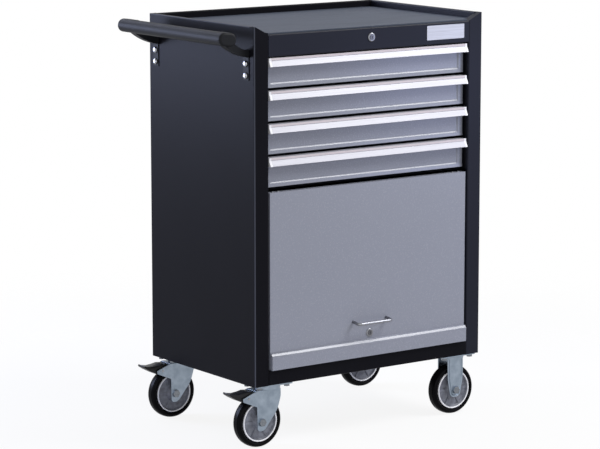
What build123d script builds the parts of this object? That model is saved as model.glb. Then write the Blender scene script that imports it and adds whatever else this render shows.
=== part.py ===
from build123d import *
import os
from math import cos, hypot, radians, sin, sqrt

# Rolling tool chest: a folded sheet-steel cabinet on casters, with four drawers over a flap-door compartment.
# Millimetres. While pieces are made, X is zero at the middle of the cabinet and runs to the right of someone
# facing it, Y is zero at the front of the stiles and runs to the back, and Z is zero under the cabinet.
# At the end every piece moves so that the origin is the middle of the whole object's box, on the floor.

# Cabinet shell
cabinet_width = 680.0
cabinet_depth = 448.0
cabinet_height = 852.0
sheet = 1.2
bend_radius = 2.0
stile_width = 41.0
jamb_depth = 7.0
back_return = 20.0
rim_width = 12.0
front_dip = 19.0
corner_flat = 4.0
tray_return = 20.0
fascia_drop = 72.0
fascia_return = 15.0
sill_height = 35.5
sill_return = 30.0
divider_flange = 12.0
mat_thickness = 3.0
mat_gap = 2.0
mat_front = 5.0
upright_width = 40.0
upright_flange = 12.0
upright_gap = 2.0

# Nameplate on the fascia
nameplate_width = 115.0
nameplate_height = 35.0
nameplate_thickness = 1.0
nameplate_corner = 2.0
nameplate_inset = 57.0
nameplate_drop = 42.5

# Drawers and their pulls
drawer_count = 4
drawer_pitch = 78.0
drawer_front_height = 71.0
drawer_side_gap = 4.0
drawer_travel = 360.0
rail_gap = 3.0
border_setback = 18.0
face_setback = 24.0
border_width = 14.0
lip_height = 7.0
front_return = 14.0
front_bend = 0.8
tray_side_drop = 8.0
tray_back_gap = 25.6
rail_side_gap = 3.5
rail_setback = 3.0
rail_lip_reach = 5.5
rail_height = 21.5
rail_strip = 6.0
rail_wall = 1.8
rail_bend = 1.0
rail_leg = 15.0

# Telescopic slides beside the drawers
slide_space = 13.5
slide_gap = 0.4
slide_height = 36.0
slide_drop = 40.0
slide_back_gap = 17.6
slide_clear = 2.0
slide_mouth = 9.0

# Flap door of the lower compartment
door_side_gap = 5.0
door_top_gap = 11.5
door_bottom_gap = 1.0
door_setback = 3.0
door_depth = 16.0
strip_height = 32.5
strip_step = 9.5
joggle_rise = 3.0
divider_above_door = 5.5
pivot_below_top = 28.5
pivot_behind_face = 10.0
pivot_radius = 3.0
pivot_bracket = 2.4
pivot_tab = 36.0
shoe_clear = 1.3
shoe_height = 16.0
shoe_width = 11.0
shoe_side_gap = 2.0
running_gap = 0.08
sliding_gap = 0.3
door_slide_travel = 280.0
door_screw_insets = (15.0, 31.0)
screw_radius = 2.0
screw_head_radius = 3.6
screw_head_height = 2.0
hole_gap = 0.2

# Bow pull on the door
pull_width = 100.0
pull_standoff = 25.0
pull_droop = 3.0
pull_radius = 3.5
pull_bend = 9.0
pull_height = 124.0

# Key locks
lock_flange_radius = 10.5
lock_flange = 2.5
lock_body_radius = 8.8
lock_body = 16.0
lock_core_radius = 6.0
lock_core_proud = 0.8
lock_tail = 2.0
keyway_width = 1.6
keyway_height = 7.0
keyway_depth = 8.0
door_lock_height = 92.0
cam_length = 66.0
cam_width = 14.0
cam_thickness = 2.5
cam_slot_gap = 3.0
top_lock_drop = 42.0

# Central locking behind the drawers
rod_radius = 3.0
rod_bracket_inset = 14.0
rod_bracket_half_width = 12.0
crank_thickness = 3.0
crank_width = 9.0
crank_rest = 45.0
lock_lift = 12.0
lock_pin_radius = 2.5
lock_pin_gap = 0.5
bar_thickness = 3.0
bar_left = 3.0
bar_right = 20.0
bar_end = 6.0
catch_width = 18.0
catch_drop = 20.0
catch_reach = 12.0
catch_thickness = 2.0
tab_thickness = 3.0
tab_gap = 4.0
lock_clear = 2.0
strap_height = 12.0
strap_wall = 1.5

# Push handle on the left side
handle_reach = 78.0
handle_drop = 24.0
handle_radius = 16.0
handle_wall = 2.0
handle_fit = 0.1
bracket_inset = 31.0
bracket_outer = 29.0
bracket_inner = 11.0
bracket_cap = 9.0
bracket_dome = 6.0
spigot_length = 16.0
horn_run = 16.0
horn_lean = 2.0
horn_slim = 4.0
arm_thickness = 22.0
arm_root_drop = 55.0
arm_root_height = 17.0
arm_sag = 4.5
arm_top_turn = 20.0
arm_low_turn = 115.0
foot_thickness = 2.0
foot_width = 22.0
foot_end = 11.0
handle_bolt_drop = 86.5
handle_bolt_spacing = 28.0
handle_bolt_head_radius = 7.5
handle_bolt_head_height = 5.0
handle_bolt_dome = 4.0

# Bolts through sheet: the handle's and the casters'
bolt_radius = 4.0
nut_across = 13.0
nut_height = 6.0

# Casters
caster_height = 153.0
wheel_radius = 62.5
tread_width = 30.0
caster_inset_x = 60.0
caster_inset_y = 37.0
plate_length = 100.0
plate_width = 70.0
plate_thickness = 3.0
plate_bolt_x = 80.0
plate_bolt_y = 50.0
caster_trail = 29.0
hub_radius = 49.5
hub_rim = 5.0
hub_rim_inset = 1.5
hub_web = 12.0
hub_boss_radius = 14.0
tyre_shoulder = 6.0
axle_radius = 6.0
axle_nut_across = 17.0
axle_nut_height = 6.0
leg_thickness = 2.5
leg_gap = 3.0
fixed_leg_width = 48.0
fixed_leg_straight = 58.0
fixed_tip_radius = 13.5
fixed_tip_drop = 4.0
race_radius = 32.0
race_depth = 9.0
kingpin_radius = 6.0
kingpin_head_radius = 11.0
kingpin_head = 4.0
crown_thickness = 3.0
crown_back = 26.0
crown_front = 46.0
leg_front = 42.0
leg_shoulder = 8.0
leg_bulge_radius = 26.0
leg_bulge_x = 8.0
leg_bulge_share = 0.54
swivel_tip_radius = 11.0
swivel_tip_drop = 10.0
brake_arm_reach = 82.0
brake_arm_drop = 12.0
brake_arm_nose = 7.0
brake_arm_root = 36.0
pedal_pivot_x = 66.0
pedal_pivot_drop = 29.0
pedal_pin_radius = 3.0
pedal_reach = 119.0
pedal_half_width = 16.0
pedal_tip = 3.0
pedal_tip_drop = 12.0

# Places that several pieces share
half_width = cabinet_width / 2
half_opening = half_width - stile_width
wall_inside = half_width - sheet
back_inside = cabinet_depth - 2 * sheet
floor_back = back_inside - bend_radius
back_half = wall_inside - bend_radius - sliding_gap
rim_inside = half_width - rim_width
rim_front = cabinet_depth - sheet - rim_width
rim_low = cabinet_height - 2 * (bend_radius + sheet)
tray_top = cabinet_height - front_dip
opening_top = cabinet_height - fascia_drop
rail_tops = [opening_top - rail_gap - i * drawer_pitch for i in range(drawer_count)]
drawer_half = half_opening - drawer_side_gap
face_half = drawer_half - border_width
tray_half = half_opening - slide_space
tray_back = back_inside - tray_back_gap
slide_front = border_setback + front_return + slide_clear
slide_back = back_inside - slide_back_gap
upright_front = jamb_depth + upright_gap
upright_back = slide_back + upright_gap
door_half = half_opening - door_side_gap
door_top = rail_tops[-1] - drawer_front_height - door_top_gap
door_bottom = sill_height + door_bottom_gap
divider_bottom = door_top + divider_above_door
pivot_y = door_setback + pivot_behind_face
pivot_z = door_top - pivot_below_top
strip_front = door_setback - strip_step
top_lock_z = cabinet_height - top_lock_drop
lock_core_end = lock_body + lock_tail
bar_back = back_inside - sliding_gap
bar_front = bar_back - bar_thickness
crank_back = bar_front - lock_clear / 2
crank_offset = lock_lift / 2
crank_radius = hypot(crank_offset, crank_offset)
rod_bracket_y = back_inside - rod_bracket_inset
handle_x = -half_width - handle_reach
handle_z = cabinet_height - handle_drop
bracket_ys = (bracket_inset, cabinet_depth - bracket_inset)
handle_bolt_zs = [cabinet_height - handle_bolt_drop - i * handle_bolt_spacing for i in range(2)]
caster_x = half_width - caster_inset_x
caster_ys = (caster_inset_y, cabinet_depth - caster_inset_y)
axle_z = wheel_radius - caster_height
leg_inside = tread_width / 2 + leg_gap
leg_outside = leg_inside + leg_thickness
crown_top = -plate_thickness - race_depth - sliding_gap
crown_bottom = crown_top - crown_thickness
box_left = handle_x - handle_radius
box_right = max(half_width, caster_x + wheel_radius)
box_front = door_setback - pull_standoff - pull_radius
origin_shift = (-(box_left + box_right) / 2, -(box_front + cabinet_depth) / 2, caster_height)


# Helpers for sheet metal and turned pieces
def block(x, y, z):
    """A box between the low and high value given for each axis."""
    spans = (x, y, z)
    middle = [(low + high) / 2 for low, high in spans]
    return Pos(*middle) * Box(*[high - low for low, high in spans])


def across(half):
    """The low and high value of a span that is centred on zero."""
    return (-half, half)


def along_x(face, low, high):
    """A section drawn in Y and Z, drawn out along X."""
    return extrude(Plane((low, 0, 0), x_dir=(0, 1, 0), z_dir=(1, 0, 0)) * face, high - low)


def along_y(face, low, high):
    """A section drawn in X and Z, drawn out along Y."""
    return extrude(Plane((0, low, 0), x_dir=(1, 0, 0), z_dir=(0, -1, 0)) * face, low - high)


def along_z(face, low, high):
    """A section drawn in X and Y, drawn out along Z."""
    return extrude(Plane.XY.offset(low) * face, high - low)


def disc(u, v, radius):
    """A round section about one point."""
    return Pos(u, v) * Circle(radius)


def hexagon(u, v, across_flats):
    """A nut's section about one point."""
    return Pos(u, v) * RegularPolygon(across_flats / 2, 6, major_radius=False)


def polygon(*points):
    """A flat section with straight edges."""
    return make_face(Polyline(*points, close=True))


def bend_radii(path, thickness, inner):
    """The radius of each bend on the face that follows the path, and on the other face."""
    face_radii, back_radii = [], []
    for before, corner, after in zip(path, path[1:], path[2:]):
        turns_left = (corner - before).cross(after - corner).Z > 0
        face_radii.append(inner + thickness if turns_left else inner)
        back_radii.append(inner if turns_left else inner + thickness)
    return face_radii, back_radii


def folded(points, thickness=sheet, inner=bend_radius):
    """Section of a folded sheet: one face follows the points, and the metal is on their left."""
    path = [Vector(*point) for point in points]
    runs = [(end - start).normalized() for start, end in zip(path, path[1:])]
    sides = [Vector(-run.Y, run.X) * thickness for run in runs]
    back = [path[0] + sides[0]]
    for corner, before, after in zip(path[1:], sides, sides[1:]):
        share = 1 / (1 + before.dot(after) / thickness**2)
        back.append(corner + (before + after) * share)
    back.append(path[-1] + sides[-1])
    face_radii, back_radii = bend_radii(path, thickness, inner)
    lines = [
        FilletPolyline(*path, radius=face_radii),
        FilletPolyline(*back, radius=back_radii),
        Line(path[0], back[0]),
        Line(path[-1], back[-1]),
    ]
    return make_face([edge for line in lines for edge in line.edges()])


def cheek(points, thickness=sheet, inner=bend_radius):
    """The flat end that closes a folded section, out to the same face."""
    path = [Vector(*point) for point in points]
    face_line = FilletPolyline(*path, radius=bend_radii(path, thickness, inner)[0])
    return make_face([*face_line.edges(), *Line(path[-1], path[0]).edges()])


def mirrored(shape):
    """The same piece on the other side of the cabinet."""
    return mirror(shape, about=Plane.YZ)


def group(shapes):
    """Separate solids that share one node."""
    return Compound([solid for shape in shapes for solid in shape.solids()])


# Cabinet shell
def side_panel():
    """Left side: wall, front stile with its jamb, back return, rim and sloped front corner in one sheet."""
    left, jamb = -half_width, -half_opening
    plan = [
        (left + back_return, cabinet_depth),
        (left, cabinet_depth),
        (left, 0),
        (jamb, 0),
        (jamb, jamb_depth),
    ]
    panel = along_z(folded(plan), 0, cabinet_height)
    rim_run = (tray_return - sheet, back_inside)
    panel -= block((left - sheet, jamb), rim_run, (rim_low, cabinet_height + sheet))
    rim = [(-rim_inside, tray_top), (-rim_inside, cabinet_height), (left, cabinet_height), (left, rim_low)]
    panel += along_y(folded(rim), *rim_run)
    high, low = (left + corner_flat, cabinet_height), (jamb, tray_top)
    above = cabinet_height + sheet
    panel -= along_y(polygon(high, low, (jamb, above), (high[0], above)), -sheet, tray_return - sheet)
    slope = [
        (-wall_inside, cabinet_height),
        high,
        low,
        (jamb, tray_top - sheet),
        (high[0], cabinet_height - sheet),
        (-wall_inside, cabinet_height - sheet),
    ]
    panel += along_y(polygon(*slope), sheet / 2, tray_return)
    closing = polygon((-wall_inside, tray_top), low, high, (-wall_inside, cabinet_height))
    return panel + along_y(closing, tray_return - sheet, tray_return)


def left_side_panel():
    panel = side_panel()
    for y in bracket_ys:
        for z in handle_bolt_zs:
            panel -= along_x(disc(y, z, bolt_radius + hole_gap), -half_width - sheet, -wall_inside + sheet)
    return panel


def right_side_panel():
    return mirrored(side_panel())


def strap_levels():
    """Heights of the two straps that guide the lock bar, clear of every tab."""
    return (rail_tops[0] - strap_height, rail_tops[-1] - strap_height)


def back_panel():
    """Back sheet with its rim, and two straps in which the lock bar slides."""
    thick = (back_inside, cabinet_depth - sheet)
    panel = block(across(back_half), thick, (0, cabinet_height))
    panel -= block(across(rim_inside), thick, (rim_low, cabinet_height + sheet))
    rim = [
        (cabinet_depth - sheet, rim_low),
        (cabinet_depth - sheet, cabinet_height),
        (rim_front, cabinet_height),
        (rim_front, tray_top),
    ]
    panel += along_x(folded(rim), -rim_inside, rim_inside)
    inside = (-bar_left - sliding_gap, bar_right + sliding_gap)
    for z in strap_levels():
        strap = block(
            (inside[0] - strap_wall, inside[1] + strap_wall),
            (bar_front - sliding_gap - strap_wall, back_inside),
            (z, z + strap_height),
        )
        panel += strap - block(inside, (bar_front - sliding_gap, back_inside), (z, z + strap_height))
    return panel


def caster_bolt_places():
    """Centres of all the bolts that hold the caster plates."""
    return [
        (side * caster_x + i * plate_bolt_x / 2, y + j * plate_bolt_y / 2)
        for side in (-1, 1)
        for y in caster_ys
        for i in (-1, 1)
        for j in (-1, 1)
    ]


def bottom_pan():
    """Floor and front sill in one sheet, with a slot in the sill for the door lock's cam."""
    section = [(sill_return, sill_height), (0, sill_height), (0, 0), (floor_back, 0)]
    pan = along_x(folded(section), -half_opening, half_opening)
    for span in ((-wall_inside, -half_opening), (half_opening, wall_inside)):
        pan += block(span, (jamb_depth, floor_back), (0, sheet))
    cam_front = door_setback + lock_core_end
    cam_corner = hypot(cam_length, cam_width / 2)
    cam_sweep = sqrt(cam_corner**2 - (door_lock_height - sill_height) ** 2)
    pan -= block(
        (-cam_width / 2 - cam_slot_gap, cam_sweep + cam_slot_gap),
        (cam_front - cam_slot_gap, cam_front + cam_thickness + cam_slot_gap),
        (sill_height - 2 * sheet, sill_height + sheet),
    )
    for x, y in caster_bolt_places():
        pan -= along_z(disc(x, y, bolt_radius + hole_gap), -sheet, 2 * sheet)
    return pan


def front_fascia():
    """Front sheet over the drawers, folded back under the tray's edge and over the opening."""
    section = [(tray_return, tray_top), (0, tray_top), (0, opening_top), (fascia_return, opening_top)]
    fascia = along_x(folded(section), -half_opening, half_opening)
    return fascia - along_y(disc(0, top_lock_z, lock_body_radius + hole_gap), -sheet, 2 * sheet)


def top_tray():
    """Tray floor between the rims, with a hanging bracket that steadies the lock rod."""
    tray = block(across(wall_inside), (tray_return, floor_back), (tray_top - sheet, tray_top))
    span = (rod_bracket_y, rod_bracket_y + 2 * sheet)
    tray += block(across(rod_bracket_half_width), span, (top_lock_z - rod_bracket_half_width, tray_top))
    return tray - along_y(disc(0, top_lock_z, rod_radius + running_gap), *span)


def top_mat():
    """Mat in the tray, narrower at the front between the sloped corners."""
    thick = (tray_top, tray_top + mat_thickness)
    step = tray_return + mat_gap
    mat = block(across(rim_inside - mat_gap), (step, rim_front - mat_gap), thick)
    return mat + block(across(half_opening - mat_gap), (mat_front, step), thick)


def divider_shelf():
    """Shelf under the drawers, hung between the uprights by its side folds."""
    high = divider_bottom + divider_flange
    section = [
        (-half_opening, high),
        (-half_opening, divider_bottom),
        (half_opening, divider_bottom),
        (half_opening, high),
    ]
    return along_y(folded(section), face_setback, upright_back)


def slide_uprights():
    """Four folded posts behind the stiles and at the back that carry the drawer slides."""
    foot = -wall_inside + sheet
    front = [
        (-wall_inside, upright_front),
        (-half_opening, upright_front),
        (-half_opening, upright_front + upright_width),
        (foot, upright_front + upright_width),
        (foot, upright_front + upright_width + upright_flange),
    ]
    back = [
        (foot, upright_back - upright_width - upright_flange),
        (foot, upright_back - upright_width),
        (-half_opening, upright_back - upright_width),
        (-half_opening, upright_back),
        (-wall_inside, upright_back),
    ]
    posts = [along_z(folded(plan), divider_bottom, opening_top) for plan in (front, back)]
    return group(posts + [mirrored(post) for post in posts])


def nameplate():
    """Bare plate fixed to the right of the fascia."""
    middle = (half_width - nameplate_inset - nameplate_width / 2, cabinet_height - nameplate_drop)
    face = Pos(*middle) * RectangleRounded(nameplate_width, nameplate_height, nameplate_corner)
    return along_y(face, -nameplate_thickness, 0)


# Drawers
def channel(web_x, open_x, z, half_height, run):
    """A slide member: a web at one X, with flanges towards another."""
    inward = 1 if open_x > web_x else -1
    web = sorted((web_x, web_x + inward * sheet))
    reach = sorted((web_x, open_x))
    member = block(web, run, (z - half_height, z + half_height))
    for low in (z - half_height, z + half_height - sheet):
        member += block(reach, run, (low, low + sheet))
    return member


def slide_pair(web_x, open_x, top, inset):
    """Both sides' slide members of one drawer, set in from the outer height."""
    run = (slide_front, slide_back)
    member = channel(web_x, open_x, top - slide_drop, slide_height / 2 - inset, run)
    return group([member, mirrored(member)])


def cabinet_slides():
    web = half_opening
    pairs = [slide_pair(web, web - slide_mouth, top, 0) for top in rail_tops]
    return group(pairs)


def slide_runner(top):
    web = half_opening - sheet - slide_gap
    return slide_pair(web, web - slide_mouth, top, sheet + slide_gap)


def drawer_slides(top):
    reach = half_opening - 2 * (sheet + slide_gap)
    return slide_pair(tray_half, reach, top, 2 * (sheet + slide_gap))


def drawer_front(low, high):
    """Pressed front: a border stands proud of the recessed face at both sides and along the bottom."""
    back = border_setback + front_return
    lip = low + lip_height
    recess = block(across(face_half), (border_setback, face_setback), (lip, high))
    outer = block(across(drawer_half), (border_setback, back), (low, high)) - recess
    outer = fillet(outer.edges().group_by(Axis.Y)[0], front_bend)
    hollow = block(across(drawer_half - sheet), (border_setback + sheet, back), (low + sheet, high))
    face = (border_setback, face_setback + sheet)
    return outer - (hollow - block(across(face_half + sheet), face, (lip - sheet, high)))


def drawer_body(top):
    """Tray behind a pressed front, with the hook for the central lock."""
    low = top - drawer_front_height
    floor = low + sheet
    side_top = top - tray_side_drop
    run = (face_setback + sheet, tray_back)
    tray = block(across(tray_half), run, (floor, side_top))
    tray -= block(across(tray_half - sheet), (run[0] + sheet, run[1] - sheet), (floor + sheet, side_top))
    return drawer_front(low, top - rail_wall) + tray + drawer_catch(top)


def drawer_catch(top):
    """Hook behind the tray that the lock bar's tab holds."""
    tongue = top - catch_drop
    hook_back = tray_back + catch_reach
    hook = block((0, catch_width), (tray_back - sheet, hook_back), (tongue, tongue + catch_thickness))
    hook_run = (hook_back - catch_thickness, hook_back)
    return hook + block((0, catch_width), hook_run, (tongue - lock_lift, tongue + catch_thickness))


def drawer_pull(top):
    """Extruded rail along the drawer's top edge: its face leans out so that fingers reach behind the lip."""
    section = [
        (face_setback + 2 * sheet, top),
        (rail_setback, top),
        (rail_setback, top - rail_strip),
        (-rail_lip_reach, top - rail_height),
    ]
    half = half_opening - rail_side_gap
    rail = along_x(folded(section, rail_wall, rail_bend), -half, half)
    leg = (face_setback - rail_wall, face_setback)
    return rail + block(across(face_half - mat_gap), leg, (top - rail_leg, top - rail_wall / 2))


# Flap door
def door_section():
    """The door's front face from its top fold, over the joggle, to its bottom fold."""
    back = door_setback + door_depth
    strip_top = door_bottom + strip_height
    return [
        (back, door_top),
        (door_setback, door_top),
        (door_setback, strip_top + joggle_rise),
        (strip_front, strip_top),
        (strip_front, door_bottom),
        (back, door_bottom),
    ]


def door_screw_places():
    return [side * (door_half - inset) for side in (-1, 1) for inset in door_screw_insets]


def door_panel():
    """Sheet flap with closed sides: the strip along its foot stands proud of the face."""
    section = door_section()
    panel = along_x(folded(section), -door_half, door_half)
    for low in (-door_half, door_half - sheet):
        end = along_x(cheek(section), low, low + sheet)
        panel += end - along_x(disc(pivot_y, pivot_z, pivot_radius + hole_gap), low, low + sheet)
    hole = disc(0, door_lock_height, lock_body_radius + hole_gap)
    panel -= along_y(hole, door_setback - sheet, door_setback + 2 * sheet)
    for x in door_screw_places():
        panel -= along_z(disc(x, pivot_y, screw_radius + hole_gap), door_top - 2 * sheet, door_top + sheet)
    return panel


def door_pivots():
    """Angle brackets inside the door's top corners, each with a pin out through the cheek."""
    inside = -door_half + sheet
    under = door_top - sheet
    depth = (pivot_y - 2 * pivot_radius, pivot_y + 2 * pivot_radius)
    bracket = block((inside, inside + pivot_bracket), depth, (pivot_z - 3 * pivot_radius, under))
    bracket += block((inside, inside + pivot_tab), depth, (under - pivot_bracket, under))
    pin_end = -half_opening - shoe_side_gap - shoe_width
    bracket += along_x(disc(pivot_y, pivot_z, pivot_radius), pin_end, inside + pivot_bracket / 2)
    for inset in door_screw_insets:
        hole = disc(-door_half + inset, pivot_y, screw_radius + hole_gap)
        bracket -= along_z(hole, under - 2 * pivot_bracket, under)
    return group([bracket, mirrored(bracket)])


def door_screws():
    """Screws through the door's top fold into the brackets."""
    screws = []
    for x in door_screw_places():
        shank = along_z(disc(x, pivot_y, screw_radius), door_top - sheet - pivot_bracket, door_top)
        head = along_z(disc(x, pivot_y, screw_head_radius), door_top, door_top + screw_head_height)
        screws.append(shank + head)
    return group(screws)


def guide_shoes():
    """Sliding blocks in which the door's pins turn."""
    outer = -half_opening - shoe_side_gap
    half_length = pivot_y - sheet - shoe_clear
    shoe = block(
        (outer - shoe_width, outer),
        (pivot_y - half_length, pivot_y + half_length),
        (pivot_z - shoe_height / 2, pivot_z + shoe_height / 2),
    )
    shoe -= along_x(disc(pivot_y, pivot_z, pivot_radius + running_gap), outer - shoe_width, outer)
    return group([shoe, mirrored(shoe)])


def door_guides():
    """Channels along both walls that the shoes run in."""
    high = pivot_z + shoe_height / 2 + sliding_gap
    low = pivot_z - shoe_height / 2 - sliding_gap
    run = (jamb_depth, upright_back)
    rail = block((-wall_inside, -wall_inside + sheet), run, (low - sheet, high + sheet))
    for flange in ((low - sheet, low), (high, high + sheet)):
        rail += block((-wall_inside, -half_opening), run, flange)
    return group([rail, mirrored(rail)])


def door_bow_pull():
    """Round bar bent to a bow, standing off the door and leaning down a little."""
    half = pull_width / 2
    inside = door_setback + pull_radius
    front = door_setback - pull_standoff
    slope = pull_droop / pull_standoff
    path = FilletPolyline(
        (-half, inside, pull_height + slope * pull_radius),
        (-half, front, pull_height - pull_droop),
        (half, front, pull_height - pull_droop),
        (half, inside, pull_height + slope * pull_radius),
        radius=pull_bend,
    )
    bar = sweep(Plane(origin=path @ 0, z_dir=path % 0) * Circle(pull_radius), path=path)
    behind = (door_setback, door_setback + pull_standoff)
    return bar - block(across(pull_width), behind, (pull_height - pull_width, pull_height + pull_width))


# Locks
def lock_housing(y, z):
    """Flanged lock barrel, open right through for the key cylinder."""
    housing = along_y(disc(0, z, lock_flange_radius), y - lock_flange, y)
    housing += along_y(disc(0, z, lock_body_radius), y, y + lock_body)
    return housing - along_y(disc(0, z, lock_core_radius + running_gap), y - lock_flange, y + lock_body)


def lock_cylinder(y, z):
    """Key cylinder with its keyway, a little proud of the flange."""
    front = y - lock_flange - lock_core_proud
    core = along_y(disc(0, z, lock_core_radius), front, y + lock_core_end)
    half_slot = keyway_height / 2
    keyway = (front, front + keyway_depth)
    return core - block(across(keyway_width / 2), keyway, (z - half_slot, z + half_slot))


def door_lock_cam():
    """Cam behind the door, level at rest, which turns down through the sill's slot to lock."""
    z = door_lock_height
    back = door_setback + lock_core_end
    half = cam_width / 2
    return block((-half, cam_length), (back, back + cam_thickness), (z - half, z + half))


def lock_rod():
    """Rod from the key cylinder to the back, with a crank whose pin lifts the lock bar."""
    rod = along_y(disc(0, top_lock_z, rod_radius), lock_core_end, crank_back)
    half = crank_width / 2
    crank_front = crank_back - crank_thickness
    arm = block((-half, crank_radius + half), (crank_front, crank_back), across(half))
    rod += Pos(0, 0, top_lock_z) * (Rot(0, crank_rest, 0) * arm)
    pin = disc(crank_offset, top_lock_z - crank_offset, lock_pin_radius)
    return rod + along_y(pin, crank_front, bar_back - sliding_gap)


def lock_bar():
    """Upright bar on the back panel with one tab for each drawer's hook."""
    high = top_lock_z + bar_end
    tab_height = lock_lift + lock_clear
    low = rail_tops[-1] - catch_drop - lock_lift - lock_clear - tab_height - bar_end
    bar = block((-bar_left, bar_right), (bar_front, bar_back), (low, high))
    room = lock_pin_radius + lock_pin_gap
    pin_z = top_lock_z - crank_offset
    slot = (crank_offset - room, crank_radius + room)
    bar -= block(slot, (bar_front, bar_back), (pin_z - room, pin_z + room))
    tab_front = tray_back + tab_gap
    for top in rail_tops:
        tab_top = top - catch_drop - lock_lift - lock_clear
        foot = tab_top - tab_height
        arm_run = (tab_front, bar_front + bar_thickness / 2)
        bar += block((0, catch_width), (tab_front, tab_front + tab_thickness), (foot, tab_top))
        bar += block((0, catch_width), arm_run, (foot, foot + tab_thickness))
    return bar


# Push handle
def handle_tube():
    """Round tube along the left side, closed at both ends by the brackets' caps."""
    start = bracket_inset - bracket_outer + bracket_cap + sliding_gap
    run = (start, cabinet_depth - start)
    tube = disc(handle_x, handle_z, handle_radius) - disc(handle_x, handle_z, handle_radius - handle_wall)
    return along_y(tube, *run)


def handle_bracket():
    """Front bracket: a cap and spigot for the tube's end, a horn along the tube, an arm and a bolted foot."""
    y = bracket_inset
    end = y - bracket_outer
    inner = y + bracket_inner
    horn_x, horn_z = handle_x + horn_run, handle_z - horn_lean
    round_horn = disc(horn_x, horn_z, handle_radius).edges()
    cap = make_hull([*disc(handle_x, handle_z, handle_radius).edges(), *round_horn])
    cap = along_y(cap, end, end + bracket_cap)
    cap = fillet(cap.edges().group_by(Axis.Y)[0], bracket_dome)
    horn = make_hull([*disc(handle_x, handle_z, handle_radius - horn_slim).edges(), *round_horn])
    horn = along_y(horn, end + bracket_cap / 2, inner)
    foot_face = -half_width - foot_thickness
    root_top = cabinet_height - arm_root_drop
    root_low = root_top - arm_root_height
    top_turn, low_turn = radians(arm_top_turn), radians(arm_low_turn)
    upper = (horn_x + handle_radius * cos(top_turn), horn_z - handle_radius * sin(top_turn))
    lower = (horn_x + handle_radius * cos(low_turn), horn_z - handle_radius * sin(low_turn))
    edges = [
        SagittaArc(upper, (foot_face, root_top), -arm_sag),
        Line((foot_face, root_top), (foot_face, root_low)),
        SagittaArc((foot_face, root_low), lower, arm_sag),
        Line(lower, upper),
    ]
    arm = make_face([edge for line in edges for edge in line.edges()])
    arm = along_y(arm, inner - arm_thickness, inner)
    bracket = horn + arm - along_y(disc(handle_x, handle_z, handle_radius + handle_fit), end, inner)
    spigot = disc(handle_x, handle_z, handle_radius - handle_wall - handle_fit)
    bracket += cap + along_y(spigot, end + bracket_cap / 2, end + bracket_cap + spigot_length)
    foot_z = (handle_bolt_zs[-1] - foot_end, root_top)
    bracket += block((foot_face, -half_width), (y - foot_width / 2, y + foot_width / 2), foot_z)
    for z in handle_bolt_zs:
        bracket -= along_x(disc(y, z, bolt_radius + hole_gap), foot_face, -half_width)
    return bracket


def handle_brackets():
    front = handle_bracket()
    return group([front, mirror(front, about=Plane.XZ.offset(-cabinet_depth / 2))])


def handle_bolts():
    """Domed bolts through the feet, with nuts inside the wall."""
    bolts = []
    face = -half_width - foot_thickness
    for y in bracket_ys:
        for z in handle_bolt_zs:
            head = along_x(disc(y, z, handle_bolt_head_radius), face - handle_bolt_head_height, face)
            head = fillet(head.edges().group_by(Axis.X)[0], handle_bolt_dome)
            shank = along_x(disc(y, z, bolt_radius), face, -wall_inside + nut_height)
            nut = along_x(hexagon(y, z, nut_across), -wall_inside, -wall_inside + nut_height)
            bolts.append(head + shank + nut)
    return group(bolts)


# Casters, made about their own axis and then set in place
def caster_plate():
    """Top plate with its four bolt holes."""
    plate = block(across(plate_length / 2), across(plate_width / 2), (-plate_thickness, 0))
    for x in (-plate_bolt_x / 2, plate_bolt_x / 2):
        for y in (-plate_bolt_y / 2, plate_bolt_y / 2):
            plate -= along_z(disc(x, y, bolt_radius + hole_gap), -plate_thickness, 0)
    return plate


def both_legs(face):
    """The same leg outline on both sides of the wheel."""
    return along_y(face, -leg_outside, -leg_inside) + along_y(face, leg_inside, leg_outside)


def axle_hole(x):
    return along_y(disc(x, axle_z, axle_radius + running_gap), -leg_outside, leg_outside)


def fixed_fork():
    """Plate and two tapered legs of a caster that only rolls."""
    top = -plate_thickness
    half = fixed_leg_width / 2
    straight = top - fixed_leg_straight
    leg = make_hull(
        [
            *polygon((-half, top), (half, top), (half, straight), (-half, straight)).edges(),
            *disc(0, axle_z - fixed_tip_drop, fixed_tip_radius).edges(),
        ]
    )
    return caster_plate() + both_legs(leg) - axle_hole(0)


def swivel_plate():
    """Plate with the upper race and the kingpin that the fork turns on."""
    race_bottom = -plate_thickness - race_depth
    plate = caster_plate() + along_z(disc(0, 0, race_radius), race_bottom, -plate_thickness)
    head_top = crown_bottom - sliding_gap
    plate += along_z(disc(0, 0, kingpin_radius), head_top, race_bottom)
    return plate + along_z(disc(0, 0, kingpin_head_radius), head_top - kingpin_head, head_top)


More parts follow.
